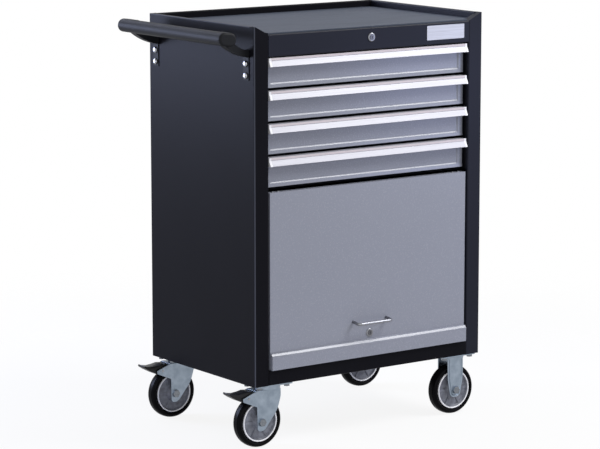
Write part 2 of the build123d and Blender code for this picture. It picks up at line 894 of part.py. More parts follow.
def swivel_fork():
    """Crown and two legs that trail to the axle, with arms that carry the brake pedal."""
    wheel_x = -caster_trail
    shoulder = crown_bottom - leg_shoulder
    bulge_z = crown_bottom + leg_bulge_share * (axle_z - crown_bottom)
    stem = make_hull(
        [
            *polygon(
                (-leg_front, crown_bottom),
                (crown_back, crown_bottom),
                (crown_back, shoulder),
                (-leg_front, shoulder),
            ).edges(),
            *disc(-leg_bulge_x, bulge_z, leg_bulge_radius).edges(),
            *disc(wheel_x, axle_z - swivel_tip_drop, swivel_tip_radius).edges(),
        ]
    )
    nose, nose_top = -brake_arm_reach, crown_bottom - brake_arm_drop
    arm = polygon(
        (-crown_front, crown_bottom),
        (nose, nose_top),
        (nose, nose_top - brake_arm_nose),
        (-crown_front, crown_bottom - brake_arm_root),
        (0, crown_bottom - brake_arm_root),
        (0, crown_bottom),
    )
    fork = both_legs(stem + arm)
    crown = block((-crown_front, crown_back), across(leg_outside), (crown_bottom, crown_top))
    fork += crown - along_z(disc(0, 0, kingpin_radius + running_gap), crown_bottom, crown_top)
    pin_hole = disc(-pedal_pivot_x, -pedal_pivot_drop, pedal_pin_radius + running_gap)
    return fork - axle_hole(wheel_x) - along_y(pin_hole, -leg_outside, leg_outside)


def brake_pedal():
    """Wedge-shaped foot pedal on a pin between the fork's arms."""
    x, z = -pedal_pivot_x, -pedal_pivot_drop
    reach = 2 * pedal_pin_radius
    wedge = polygon(
        (x + 2 * reach, z + reach + pedal_tip),
        (-pedal_reach, -pedal_tip_drop),
        (-pedal_reach, -pedal_tip_drop - pedal_tip),
        (x - reach, z - 2 * reach),
        (x + 2 * reach, z - pedal_tip),
    )
    pedal = along_y(wedge, -pedal_half_width, pedal_half_width)
    pin_end = leg_outside + pedal_pin_radius / 2
    return pedal + along_y(disc(x, z, pedal_pin_radius), -pin_end, pin_end)


def axle_bolt(x):
    """Axle through both legs with a hexagon head and a nut."""
    end = leg_outside + axle_nut_height
    bolt = along_y(disc(x, axle_z, axle_radius), -end, end)
    for low in (-end, leg_outside):
        bolt += along_y(hexagon(x, axle_z, axle_nut_across), low, low + axle_nut_height)
    return bolt


def wheel_hub(x):
    """Moulded hub: rim, web and boss."""
    rim = disc(x, axle_z, hub_radius) - disc(x, axle_z, hub_radius - hub_rim)
    half_rim = tread_width / 2 - hub_rim_inset
    half_boss = leg_inside - sliding_gap
    hub = along_y(rim, -half_rim, half_rim)
    hub += along_y(disc(x, axle_z, hub_radius - hub_rim / 2), -hub_web / 2, hub_web / 2)
    hub += along_y(disc(x, axle_z, hub_boss_radius), -half_boss, half_boss)
    return hub - along_y(disc(x, axle_z, axle_radius + running_gap), -half_boss, half_boss)


def tyre(x):
    """Rubber ring with rounded shoulders."""
    half = tread_width / 2
    ring = along_y(disc(x, axle_z, wheel_radius), -half, half)
    ring = fillet(ring.edges(), tyre_shoulder)
    return ring - along_y(disc(x, axle_z, hub_radius + running_gap), -half, half)


def caster_bolts():
    """Bolts up through the plates and the floor with their nuts, and the fixed wheels' axles."""
    bolts = [Pos(caster_x, y, 0) * axle_bolt(0) for y in caster_ys]
    for x, y in caster_bolt_places():
        bolt = along_z(disc(x, y, bolt_radius), -plate_thickness, sheet + nut_height)
        bolt += along_z(hexagon(x, y, nut_across), -plate_thickness - nut_height, -plate_thickness)
        bolts.append(bolt + along_z(hexagon(x, y, nut_across), sheet, sheet + nut_height))
    return group(bolts)


# The object's pieces by name
fixed_places = [Pos(caster_x, y, 0) for y in caster_ys]
swivel_places = [Pos(-caster_x, y, 0) for y in caster_ys]

pieces = {
    "left_side_panel": left_side_panel(),
    "right_side_panel": right_side_panel(),
    "back_panel": back_panel(),
    "bottom_pan": bottom_pan(),
    "front_fascia": front_fascia(),
    "top_tray": top_tray(),
    "top_mat": top_mat(),
    "divider_shelf": divider_shelf(),
    "slide_uprights": slide_uprights(),
    "cabinet_slides": cabinet_slides(),
    "door_guides": door_guides(),
    "nameplate": nameplate(),
    "handle_tube": handle_tube(),
    "handle_brackets": handle_brackets(),
    "handle_bolts": handle_bolts(),
    "top_lock_housing": lock_housing(0, top_lock_z),
    "top_lock_cylinder": lock_cylinder(0, top_lock_z),
    "lock_rod": lock_rod(),
    "lock_bar": lock_bar(),
    "door_panel": door_panel(),
    "door_pivots": door_pivots(),
    "door_screws": door_screws(),
    "door_bow_pull": door_bow_pull(),
    "door_lock_housing": lock_housing(door_setback, door_lock_height),
    "door_lock_cylinder": lock_cylinder(door_setback, door_lock_height),
    "door_lock_cam": door_lock_cam(),
    "guide_shoes": guide_shoes(),
    "fixed_forks": group([place * fixed_fork() for place in fixed_places]),
    "swivel_plates": group([place * swivel_plate() for place in swivel_places]),
    "caster_bolts": caster_bolts(),
}
for number, top in enumerate(rail_tops, start=1):
    pieces[f"drawer_body_{number}"] = drawer_body(top)
    pieces[f"drawer_pull_{number}"] = drawer_pull(top)
    pieces[f"drawer_slides_{number}"] = drawer_slides(top)
    pieces[f"slide_runner_{number}"] = slide_runner(top)
for end, fixed, swivel in zip(("front", "rear"), fixed_places, swivel_places):
    pieces[f"hub_right_{end}"] = fixed * wheel_hub(0)
    pieces[f"tyre_right_{end}"] = fixed * tyre(0)
    pieces[f"swivel_fork_{end}"] = swivel * swivel_fork()
    pieces[f"swivel_axle_bolt_{end}"] = swivel * axle_bolt(-caster_trail)
    pieces[f"brake_pedal_{end}"] = swivel * brake_pedal()
    pieces[f"hub_left_{end}"] = swivel * wheel_hub(-caster_trail)
    pieces[f"tyre_left_{end}"] = swivel * tyre(-caster_trail)

os.makedirs("parts", exist_ok=True)
for name, piece in pieces.items():
    export_step(Pos(*origin_shift) * piece, f"parts/{name}.step")
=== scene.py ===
# Rolling tool chest: a folded steel cabinet on casters, dressed for the camera.
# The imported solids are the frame, and each section below finishes one piece or group of like pieces,
# in the order in which they go together.
import math

import bmesh
import bpy
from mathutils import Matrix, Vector


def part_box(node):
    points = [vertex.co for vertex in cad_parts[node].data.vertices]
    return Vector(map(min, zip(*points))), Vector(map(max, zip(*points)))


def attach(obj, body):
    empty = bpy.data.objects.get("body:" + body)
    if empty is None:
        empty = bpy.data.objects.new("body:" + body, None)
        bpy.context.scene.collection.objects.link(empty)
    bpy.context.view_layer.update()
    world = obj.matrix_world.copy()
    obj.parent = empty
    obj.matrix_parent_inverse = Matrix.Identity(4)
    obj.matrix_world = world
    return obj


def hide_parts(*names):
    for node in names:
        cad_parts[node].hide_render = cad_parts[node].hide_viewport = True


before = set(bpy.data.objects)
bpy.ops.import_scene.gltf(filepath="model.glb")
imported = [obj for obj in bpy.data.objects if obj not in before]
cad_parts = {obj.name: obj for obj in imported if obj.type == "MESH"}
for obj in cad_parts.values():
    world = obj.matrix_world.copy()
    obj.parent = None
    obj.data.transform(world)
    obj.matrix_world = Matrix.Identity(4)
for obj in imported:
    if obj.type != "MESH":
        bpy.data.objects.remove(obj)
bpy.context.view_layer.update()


# Cabinet shell: sides, back, floor, fascia, tray, shelf and uprights, folded from 1.2 mm steel and welded.
# The sheet is powder coated satin black after folding, so the coat runs unbroken round every bend.
# Fascia, right side and tray are coated a little glossier, in a lighter, bluer black that is a painted bluish
# sheen, and the left side's bends carry a painted highlight in a paler tone.
def linear(hex_colour):
    """An sRGB hex colour as the linear colour that a shader takes."""
    parts = [int(hex_colour[i:i + 2], 16) / 255 for i in (1, 3, 5)]
    return [c / 12.92 if c <= 0.04045 else ((c + 0.055) / 1.055) ** 2.4 for c in parts] + [1.0]


def add_node(tree, kind, sockets=None, **settings):
    """Adds a node with its settings, and gives each named input a value or the output that feeds it."""
    node = tree.nodes.new(kind)
    for field, value in settings.items():
        setattr(node, field, value)
    for socket, value in (sockets or {}).items():
        if isinstance(value, bpy.types.NodeSocket):
            tree.links.new(value, node.inputs[socket])
        else:
            node.inputs[socket].default_value = value
    return node


def start_material(name):
    """An empty material, with its node tree and the Object coordinates that its patterns are laid out on."""
    material = bpy.data.materials.new(name)
    material.use_nodes = True
    tree = material.node_tree
    tree.nodes.clear()
    return material, tree, add_node(tree, "ShaderNodeTexCoord").outputs["Object"]


def end_material(material, sockets):
    """The shader that every finish ends in, with what feeds it."""
    tree = material.node_tree
    surface = add_node(tree, "ShaderNodeBsdfPrincipled", sockets)
    add_node(tree, "ShaderNodeOutputMaterial", {"Surface": surface.outputs["BSDF"]})
    return material


# A Mix node's colour sockets share their names with its other sockets, so they are told apart by number.
mix_factor, mix_first, mix_second, mix_result = 0, 6, 7, 2


def two_tones(tree, place, tone, deeper_tone, patch, detail):
    """Noise in patches as large as given, in metres, and the colour that it blends from two tones."""
    noise = add_node(tree, "ShaderNodeTexNoise", {"Vector": place, "Scale": 1 / patch, "Detail": detail})
    blend = noise.outputs["Fac"]
    colour = add_node(
        tree, "ShaderNodeMix",
        {mix_factor: blend, mix_first: linear(tone), mix_second: linear(deeper_tone)}, data_type="RGBA")
    return blend, colour.outputs[mix_result]


def grained(tree, place, size, detail, strength, depth):
    """Fine noise, and the normal of a skin that it raises. Size and depth are in metres."""
    noise = add_node(tree, "ShaderNodeTexNoise", {"Vector": place, "Scale": 1 / size, "Detail": detail})
    grain = noise.outputs["Fac"]
    skin = add_node(tree, "ShaderNodeBump", {"Height": grain, "Strength": strength, "Distance": depth})
    return grain, skin.outputs["Normal"]


def powder_coat(name, tone, deeper_tone, roughness, gloss, painted_highlight_tone=None):
    """Powder coat, sprayed dry and baked: a satin skin with a slight orange peel and a faint cloudiness.
    Real orange peel is 1 to 2 mm across; it is drawn at 3 mm so that it still shows at this distance.
    With a highlight tone, the bends that turn to the left get a painted highlight, a paler tone for the light
    that those bends catch. There the x of the normal lies between 0 and -1, so x * x + x is below 0, and
    least in the middle of the bend."""
    swing, middle_of_bend = 0.02, -0.25
    material, tree, place = start_material(name)
    _, colour = two_tones(tree, place, tone, deeper_tone, patch=0.22, detail=1.0)
    peel, skin = grained(tree, place, size=0.003, detail=2.0, strength=0.05, depth=0.0004)
    # Painted highlight: where the normal turns to the left, the colour is mixed towards the paler highlight
    # tone.
    if painted_highlight_tone:
        facing = add_node(tree, "ShaderNodeTexCoord").outputs["Normal"]
        x = add_node(tree, "ShaderNodeSeparateXYZ", {"Vector": facing}).outputs["X"]
        turning = add_node(tree, "ShaderNodeMath", {0: x, 1: x, 2: x}, operation="MULTIPLY_ADD")
        bend = add_node(
            tree, "ShaderNodeMapRange",
            {"Value": turning.outputs["Value"], "From Min": 0.0, "From Max": middle_of_bend})
        highlight_mix = add_node(
            tree, "ShaderNodeMix",
            {mix_factor: bend.outputs["Result"], mix_first: colour, mix_second: linear(painted_highlight_tone)},
            data_type="RGBA")
        colour = highlight_mix.outputs[mix_result]
    satin = add_node(
        tree, "ShaderNodeMapRange", {"Value": peel, "To Min": roughness - swing, "To Max": roughness + swing})
    return end_material(material, {
        "Base Color": colour,
        "Roughness": satin.outputs["Result"],
        "Specular IOR Level": gloss,
        "Normal": skin,
    })


def give(material, *nodes):
    """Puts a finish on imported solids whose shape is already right."""
    for name in nodes:
        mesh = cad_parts[name].data
        mesh.materials.clear()
        mesh.materials.append(material)


shell_black = {"tone": "#121217", "deeper_tone": "#0e0e13", "roughness": 0.40, "gloss": 0.035}
black_coat = powder_coat("satin black powder coat", **shell_black)
# A lighter, bluer copy of the black coat: the lift and the blue are a painted sheen for the cool light that
# the front and right side reflect. It is also glossier.
blue_sheen_black_coat = powder_coat("satin black coat with painted blue sheen", "#191b27", "#151721", roughness=0.40, gloss=0.12)
# The left side carries a painted highlight on its bends, a paler tone where they turn to the left.
highlit_side_coat = powder_coat("satin black powder coat with painted bend highlight", **shell_black, painted_highlight_tone="#50535e")
give(black_coat, "back_panel", "bottom_pan", "divider_shelf", "slide_uprights")
give(highlit_side_coat, "left_side_panel")
give(blue_sheen_black_coat, "front_fascia", "right_side_panel", "top_tray")


# Slides, door channels and lock linkage: roll-formed steel strip and rod, zinc plated before it is bolted in.
# The plating is a cool blue-grey skin with a cloudy bloom left by the bath.
def metal_plate(name, tone, deeper_tone, roughness, patch):
    """Plated metal, whose shine comes and goes in soft patches as large as given, in metres."""
    swing = 0.07
    material, tree, place = start_material(name)
    bloom, colour = two_tones(tree, place, tone, deeper_tone, patch=patch, detail=5.0)
    shine = add_node(
        tree, "ShaderNodeMapRange",
        {"Value": bloom, "To Min": roughness - swing, "To Max": roughness + swing})
    return end_material(material, {
        "Base Color": colour,
        "Metallic": 1.0,
        "Roughness": shine.outputs["Result"],
    })


zinc = metal_plate("zinc-plated steel", "#a2adba", "#6b7784", roughness=0.33, patch=0.018)
give(zinc, "cabinet_slides", "door_guides", "lock_rod", "lock_bar")


# Top mat: a sheet of grey foam rubber cut to the tray, 3 mm thick, laid loose inside the rim.
# Its skin is matt and finely grained, with faint streaks along the sheet from the rollers.
def foam_rubber(name, tone, deeper_tone):
    """Foam rubber, calendered: streaks 7 to 14 mm apart and ten times as long, over a fine grain.
    The grain is under a millimetre, and is drawn at 2 mm to show."""
    stretch = 0.1
    material, tree, place = start_material(name)
    drawn = add_node(tree, "ShaderNodeMapping", {"Vector": place, "Scale": (stretch, 1.0, 1.0)})
    _, colour = two_tones(tree, drawn.outputs["Vector"], tone, deeper_tone, patch=0.014, detail=5.0)
    _, skin = grained(tree, place, size=0.002, detail=3.0, strength=0.3, depth=0.0005)
    return end_material(material, {
        "Base Color": colour,
        "Roughness": 0.6,
        "Specular IOR Level": 0.12,
        "Normal": skin,
    })


give(foam_rubber("grey foam rubber", "#4b515e", "#333842"), "top_mat")


# Nameplate: a plain strip of brushed aluminium, stuck to the right of the fascia.
# The brush runs along the strip, so its shine is streaked that way.
def drawn_aluminium(name, tone, deeper_tone, roughness, stretch, bareness):
    """Aluminium, brushed or drawn through a die, which leaves fine lines along X.
    Real lines are a tenth of a millimetre apart; they are drawn 0.8 to 1.6 mm apart to show.
    An anodised skin scatters light, so the thicker it is, the less bare metal shows through."""
    swing = 0.06
    material, tree, place = start_material(name)
    drawn = add_node(tree, "ShaderNodeMapping", {"Vector": place, "Scale": (stretch, 1.0, 1.0)})
    lines, colour = two_tones(tree, drawn.outputs["Vector"], tone, deeper_tone, patch=0.0016, detail=3.0)
    shine = add_node(
        tree, "ShaderNodeMapRange",
        {"Value": lines, "To Min": roughness - swing, "To Max": roughness + swing})
    return end_material(material, {
        "Base Color": colour,
        "Metallic": bareness,
        "Roughness": shine.outputs["Result"],
    })


plate_silver = drawn_aluminium(
    "brushed aluminium plate", "#bcbdc2", "#97989e", roughness=0.50, stretch=0.02, bareness=0.8)
give(plate_silver, "nameplate")


# Push handle: a steel tube capped by two cast brackets, all coated a matter black than the cabinet.
# Each bracket's foot takes two domed bolts through the left side, nickel plated.
handle_coat = powder_coat("matt black powder coat", "#15161a", "#121316", roughness=0.55, gloss=0.12)
nickel = metal_plate("nickel-plated steel", "#a2a3a7", "#808186", roughness=0.26, patch=0.006)
give(handle_coat, "handle_tube", "handle_brackets")
give(nickel, "handle_bolts")


# Locks: a turned zinc barrel with a rounded flange, and a brass key cylinder in it, both nickel plated.
# A ring nut behind the sheet pulls the flange down on to the coat.
def turned(profile, centre, steps=96):
    """Spins a closed half-section, given as (along the axle, radius), about an axle along Y."""
    bm = bmesh.new()
    corners = [bm.verts.new((centre.x + radius, centre.y + along, centre.z)) for along, radius in profile]
    for pair in zip(corners, corners[1:] + corners[:1]):
        bm.edges.new(pair)
    bmesh.ops.spin(
        bm, geom=bm.verts[:] + bm.edges[:], cent=centre, axis=(0, 1, 0), angle=math.tau, steps=steps,
        use_merge=True)
    bmesh.ops.remove_doubles(bm, verts=bm.verts, dist=1e-6)
    bmesh.ops.recalc_face_normals(bm, faces=bm.faces)
    return bm


def piece(name, bm, material, body, stands_for=(), crease=32, place=None):
    """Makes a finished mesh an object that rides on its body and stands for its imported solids.
    Edges sharper than the crease, in degrees, stay crisp. With no crease, faces keep the shading they have.
    A mesh that was made about its own origin is moved to its place first."""
    if place is not None:
        bmesh.ops.translate(bm, verts=bm.verts, vec=place)
    mesh = bpy.data.meshes.new(name)
    bm.to_mesh(mesh)
    bm.free()
    if crease:
        mesh.shade_smooth()
        mesh.set_sharp_from_angle(angle=math.radians(crease))
    mesh.materials.append(material)
    made = bpy.data.objects.new(name, mesh)
    bpy.context.scene.collection.objects.link(made)
    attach(made, body)
    if stands_for:
        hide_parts(*stands_for)
    return made


barrel_nickel = metal_plate("nickel-plated zinc", "#929398", "#6e6f74", roughness=0.34, patch=0.005)
key_nickel = metal_plate("worn nickel-plated brass", "#75767b", "#47484d", roughness=0.36, patch=0.004)
barrel_bore, barrel_radius, flange_radius, flange_depth = 0.0061, 0.0088, 0.0105, 0.0025
for lock, body in (("top", "cabinet"), ("door", "door")):
    low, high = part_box(f"{lock}_lock_housing")
    centre = Vector(((low.x + high.x) / 2, low.y, (low.z + high.z) / 2))
    length = high.y - low.y
    barrel = [
        (0.0005, barrel_bore), (0.0, 0.0066), (0.0, 0.0084), (0.0004, 0.0096), (0.0011, 0.0103),
        (0.0019, flange_radius), (flange_depth, flange_radius), (flange_depth, barrel_radius),
        (length, barrel_radius), (length, barrel_bore),
    ]
    piece(f"{lock}_lock_barrel", turned(barrel, centre), barrel_nickel, body,
          [f"{lock}_lock_housing"])
give(key_nickel, "top_lock_cylinder", "door_lock_cylinder")


# Drawers: folded trays, powder coated mid grey, on zinc-plated telescopic members.
# The front is pressed: its face is sunk inside a border, and the lip along the foot leans out a little.
# A thin skin just in front of each packed tray carries these forms.
drawer_numbers = (1, 2, 3, 4)
skin_gap, skin_thickness = 0.0003, 0.00025
left_border, right_border, lip = 0.0075, 0.0140, 0.0080
sink, slope, lean, drawer_bend = 0.0020, 0.0032, 0.0012, 0.0006
across, up = Vector((1, 0, 0)), Vector((0, 0, 1))
hair = 1e-5  # a hair's breadth, to tell one score line from the next


def front_sheet(low, high, y):
    """A flat sheet over the front of a box."""
    bm = bmesh.new()
    outline = ((low.x, low.z), (high.x, low.z), (high.x, high.z), (low.x, high.z))
    bm.faces.new([bm.verts.new((x, y, z)) for x, z in outline])
    return bm


def score(bm, axis, place):
    """Marks a line on a sheet where it is to fold, at one place along an axis."""
    bmesh.ops.bisect_plane(
        bm, geom=bm.verts[:] + bm.edges[:] + bm.faces[:], dist=1e-7, plane_co=place * axis, plane_no=axis)


def round_edges(bm, edges, radius, segments, clamp_overlap=False):
    """Rounds edges, and gives the faces of the rounding."""
    rounding = bmesh.ops.bevel(
        bm, geom=edges, offset=radius, affect="EDGES", segments=segments, profile=0.5, material=-1,
        clamp_overlap=clamp_overlap)
    return rounding["faces"]


def round_folds(bm, radius):
    """Rounds a front sheet's folds, gives it a back, and shades only the bends as curved."""
    least_fold = 0.15  # radians
    bmesh.ops.recalc_face_normals(bm, faces=bm.faces)
    if sum(face.normal.y * face.calc_area() for face in bm.faces) > 0:
        bmesh.ops.reverse_faces(bm, faces=bm.faces[:])
    folds = [edge for edge in bm.edges if len(edge.link_faces) == 2 and edge.calc_face_angle() > least_fold]
    for face in round_edges(bm, folds, radius, segments=6, clamp_overlap=True):
        face.smooth = True
    bmesh.ops.solidify(bm, geom=bm.faces[:], thickness=skin_thickness)


grey_coat = powder_coat("satin grey powder coat", "#858894", "#838692", roughness=0.27, gloss=0.45)
for number in drawer_numbers:
    give(grey_coat, f"drawer_body_{number}")
    give(zinc, f"drawer_slides_{number}", f"slide_runner_{number}")
    low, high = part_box(f"drawer_body_{number}")
    bm = front_sheet(low, high, low.y - skin_gap)
    left, right, foot = low.x + left_border, high.x - right_border, low.z + lip
    for place in (left, left + slope, right - slope, right):
        score(bm, across, place)
    for place in (foot, foot + slope):
        score(bm, up, place)
    inner = slope - hair
    sunk = [
        vert for vert in bm.verts
        if left + inner < vert.co.x < right - inner and vert.co.z > foot + inner]
    bmesh.ops.translate(bm, verts=sunk, vec=(0, sink, 0))
    lowest = [vert for vert in bm.verts if vert.co.z < low.z + hair]
    bmesh.ops.translate(bm, verts=lowest, vec=(0, -lean, 0))
    round_folds(bm, drawer_bend)
    piece(f"drawer_front_{number}", bm, grey_coat, f"drawer_{number}", crease=None)


# Drawer pulls: aluminium extrusions clipped over the drawers' top edges, satin anodised.
# A plain land runs along the top over a fine groove, and below it the face leans out to a finger lip.
def extrude(bm, faces, along):
    """Draws faces out into a solid along a vector."""
    drawn_out = bmesh.ops.extrude_face_region(bm, geom=faces)["geom"]
    moved = [part for part in drawn_out if isinstance(part, bmesh.types.BMVert)]
    bmesh.ops.translate(bm, verts=moved, vec=along)
    bmesh.ops.recalc_face_normals(bm, faces=bm.faces)


def drawn_section(section, x, y, z, length):
    """Draws a section out along X. Its corners are (y, z) from the point that is given."""
    bm = bmesh.new()
    end = bm.faces.new([bm.verts.new((x, y + corner_y, z + corner_z)) for corner_y, corner_z in section])
    extrude(bm, [end], (length, 0, 0))
    return bm


pull_silver = drawn_aluminium(
    "satin anodised aluminium", "#b0b0b8", "#a6a6ae", roughness=0.45, stretch=0.01, bareness=0.15)
land_silver = drawn_aluminium(
    "matt anodised aluminium land", "#c9c0c3", "#bcb3b7", roughness=0.55, stretch=0.01, bareness=0.15)
land_setback, land_height, square_on = 0.0085, 0.006, 0.99
rail_round, rail_crease = 0.0002, 8
pull_section = [
    (0.021, 0.0), (0.0, 0.0), (0.0, -0.0055), (0.0008, -0.0058), (0.0008, -0.0063), (0.0, -0.0066),
    (-0.0062, -0.0198), (-0.0047, -0.0206), (0.0018, -0.0071), (0.0018, -0.0018), (0.021, -0.0018),
]
for number in drawer_numbers:
    low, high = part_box(f"drawer_pull_{number}")
    length = high.x - low.x
    bm = drawn_section(pull_section, low.x, low.y + land_setback, high.z, length)
    long_edges = [edge for edge in bm.edges if abs(edge.verts[0].co.x - edge.verts[1].co.x) > length / 2]
    round_edges(bm, long_edges, rail_round, segments=2)
    for face in bm.faces:
        faces_front = face.normal.y < -square_on
        on_land = faces_front and face.calc_center_median().z > high.z - land_height
        face.material_index = 1 if on_land else 0
    rail = piece(f"drawer_rail_{number}", bm, pull_silver, f"drawer_{number}",
                 [f"drawer_pull_{number}"], crease=rail_crease)
    rail.data.materials.append(land_silver)


# Rail caps: white polypropylene wedges pressed into both ends of each drawer pull.
# They close the hollow behind the leaning face, so no cut edge of the extrusion shows.
def moulding(name, tone, deeper_tone, roughness, gloss, patch):
    """Moulded plastic or rubber: soft blotches as large as given, in metres, under a matt spark-eroded grain.
    The grain is under a millimetre, and is drawn at 1.2 mm to show."""
    material, tree, place = start_material(name)
    _, colour = two_tones(tree, place, tone, deeper_tone, patch=patch, detail=4.0)
    _, skin = grained(tree, place, size=0.0012, detail=3.0, strength=0.2, depth=0.0002)
    return end_material(material, {
        "Base Color": colour,
        "Roughness": roughness,
        "Specular IOR Level": gloss,
        "Normal": skin,
    })


cap_plastic = moulding(
    "moulded white polypropylene", "#e4e4e8", "#d9d9de", roughness=0.4, gloss=0.4, patch=0.02)
cap_width, cap_overhang, cap_round = 0.006, 0.0002, 0.0004
cap_section = [
    (0.0140, -0.0004), (-0.0002, -0.0004), (-0.0002, -0.0066), (-0.0065, -0.0199), (-0.0055, -0.0208),
    (0.0140, -0.0208),
]
for number in drawer_numbers:
    low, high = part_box(f"drawer_pull_{number}")
    for end, start_x in (("left", low.x - cap_overhang), ("right", high.x + cap_overhang - cap_width)):
        bm = drawn_section(cap_section, start_x, low.y + land_setback, high.z, cap_width)
        round_edges(bm, bm.edges[:], cap_round, segments=2)
        piece(f"rail_cap_{end}_{number}", bm, cap_plastic, f"drawer_{number}",
              crease=rail_crease)


# Flap door: folded sheet with closed sides and a proud strip along its foot, coated as the drawers are.
# A bow pull and a lock are fixed through it, and a thin skin carries the bends of its front.
# It turns on pins in black nylon shoes, which slide back along the channels.
give(grey_coat, "door_panel")
give(nickel, "door_screws")
give(barrel_nickel, "door_bow_pull")
give(zinc, "door_lock_cam", "door_pivots")
black_nylon = moulding("moulded black nylon", "#0d0d10", "#09090b", roughness=0.40, gloss=0.25, patch=0.01)
give(black_nylon, "guide_shoes")
strip_step, strip_height, door_bend = 0.0095, 0.0335, 0.0007
low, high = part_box("door_panel")
strip_top = low.z + strip_height
joggle = [(strip_top, strip_step), (strip_top + 0.0060, 0.0048), (strip_top + 0.0070, 0.0)]
bm = front_sheet(low, high, low.y + strip_step - skin_gap)
for height, _ in joggle:
    score(bm, up, height)
for vert in bm.verts:
    vert.co.y -= next((stand_out for height, stand_out in joggle if vert.co.z < height + hair), 0.0)
round_folds(bm, door_bend)
piece("door_front", bm, grey_coat, "door", crease=None)


# Casters: fork legs pressed from steel plate and zinc plated. On the left a crown joins each pair of legs and
# swivels under its mounting plate. On the right they are flanged at the top and welded to a fixed plate,
# and a groove pressed round each of them stiffens it.
leg_outside, leg_thickness, leg_round = 0.0205, 0.0025, 0.0011
plate_thickness, flange_steps = 0.003, 6
caster_crease = 8


def pressed_legs(corners, panel=(), flange=0.0):
    """Both legs of a fork about y = 0, under a mounting face at z = 0.
    Corners are (x, z, rounding), and the first two are the top ones. A panel is pressed in steps of
    (inset, rise). A flange, given as its radius, bends out to the underside of the plate above."""
    least_rim = 1.2  # radians
    bm = bmesh.new()
    outline = [bm.verts.new((x, -leg_outside, z)) for x, z, _ in corners]
    bm.faces.new(outline)
    for vert, (_, _, rounding) in zip(outline, corners):
        bmesh.ops.bevel(
            bm, geom=[vert], offset=rounding, affect="VERTICES", segments=5, profile=0.5, material=-1)
    extrude(bm, bm.faces[:], (0, leg_thickness, 0))
    rims = [edge for edge in bm.edges if edge.calc_face_angle() > least_rim]
    round_edges(bm, rims, leg_round, segments=3)
    outer = [max(bm.faces, key=lambda face: -face.normal.y * face.calc_area())]
    for inset, rise in panel:
        bmesh.ops.inset_region(bm, faces=outer, thickness=inset, depth=rise)
    if flange:
        start_x, end_x = corners[0][0], corners[1][0]
        under_plate = bm.verts.new((start_x, -leg_outside, -plate_thickness))
        on_leg = bm.verts.new((start_x, -leg_outside, -plate_thickness - flange))
        bmesh.ops.spin(
            bm, geom=[on_leg], cent=(start_x, -leg_outside - flange, -plate_thickness - flange),
            axis=(1, 0, 0), angle=math.pi / 2, steps=flange_steps)
        bend = bm.faces.new([under_plate, on_leg] + bm.verts[-flange_steps:])
        extrude(bm, [bend], (end_x - start_x, 0, 0))
    bmesh.ops.mirror(bm, geom=bm.verts[:] + bm.edges[:] + bm.faces[:], merge_dist=-1, axis="Y")
    bmesh.ops.recalc_face_normals(bm, faces=bm.faces)
    return bm


def rounded_plate(low, high, radius):
    """A flat plate between two corners with its edges rounded."""
    bm = bmesh.new()
    bmesh.ops.create_cube(bm, size=1.0)
    bmesh.ops.scale(bm, verts=bm.verts, vec=Vector(high) - Vector(low))
    bmesh.ops.translate(bm, verts=bm.verts, vec=(Vector(low) + Vector(high)) / 2)
    round_edges(bm, bm.edges[:], radius, segments=3)
    return bm


# The bolts' steel is darker than the nickel: painted shade, standing in for the shaded rim of a domed nut.
shade_darkened_steel = metal_plate("steel darkened for painted shade", "#8e9298", "#585c62", roughness=0.26, patch=0.004)
give(zinc, "swivel_plates")
give(shade_darkened_steel, "caster_bolts")
fork_corners = [
    (-0.046, -0.0135, 0.001), (0.026, -0.0135, 0.001), (0.027, -0.032, 0.008), (0.0165, -0.066, 0.012),
    (-0.0215, -0.1125, 0.008), (-0.0405, -0.1125, 0.008), (-0.042, -0.0525, 0.002), (-0.081, -0.0355, 0.002),
    (-0.0825, -0.0275, 0.002),
]
crown_low, crown_high, crown_round = (-0.0455, -0.0203, -0.0158), (0.0257, 0.0203, -0.0123), 0.0014
pivot_setback = 0.026
for end in ("front", "rear"):
    low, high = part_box(f"swivel_fork_{end}")
    pivot = Vector((high.x - pivot_setback, (low.y + high.y) / 2, high.z - crown_high[2]))
    legs = pressed_legs(fork_corners)
    crown = rounded_plate(crown_low, crown_high, crown_round)
    piece(f"fork_legs_{end}", legs, zinc, f"swivel_{end}", [f"swivel_fork_{end}"],
          crease=caster_crease, place=pivot)
    piece(f"fork_crown_{end}", crown, zinc, f"swivel_{end}", crease=caster_crease, place=pivot)
    give(shade_darkened_steel, f"swivel_axle_bolt_{end}")

leg_corners = [
    (-0.024, -0.002, 0.0065), (0.024, -0.002, 0.0065), (0.0242, -0.062, 0.014), (0.0145, -0.109, 0.010),
    (-0.0145, -0.109, 0.010), (-0.0242, -0.062, 0.014),
]
leg_panel, leg_flange = [(0.0030, 0.0), (0.0012, -0.0014), (0.0012, 0.0018)], 0.0090
plate_half_x, plate_half_y, plate_round = 0.050, 0.035, 0.0008
low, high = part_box("fixed_forks")
for end, middle_y in (("front", low.y + plate_half_y), ("rear", high.y - plate_half_y)):
    stand = Vector(((low.x + high.x) / 2, middle_y, high.z))
    legs = pressed_legs(leg_corners, leg_panel, leg_flange)
    plate = rounded_plate(
        (-plate_half_x, -plate_half_y, -plate_thickness), (plate_half_x, plate_half_y, 0.0), plate_round)
    piece(f"fixed_legs_{end}", legs, zinc, "cabinet", ["fixed_forks"] if end == "front" else (),
          crease=caster_crease, place=stand)
    piece(f"fixed_plate_{end}", plate, zinc, "cabinet", crease=caster_crease, place=stand)


# Brake pedals: moulded black nylon on a steel pin, dished on top and turned up at the toe.
# Pressing one down wedges its heel against the tyre.
def mirrored(section):
    """A half-section, given as (along the axle, radius), and its mirror image. A point at 0 comes once."""
    return section + [(-along, radius) for along, radius in reversed(section) if along]


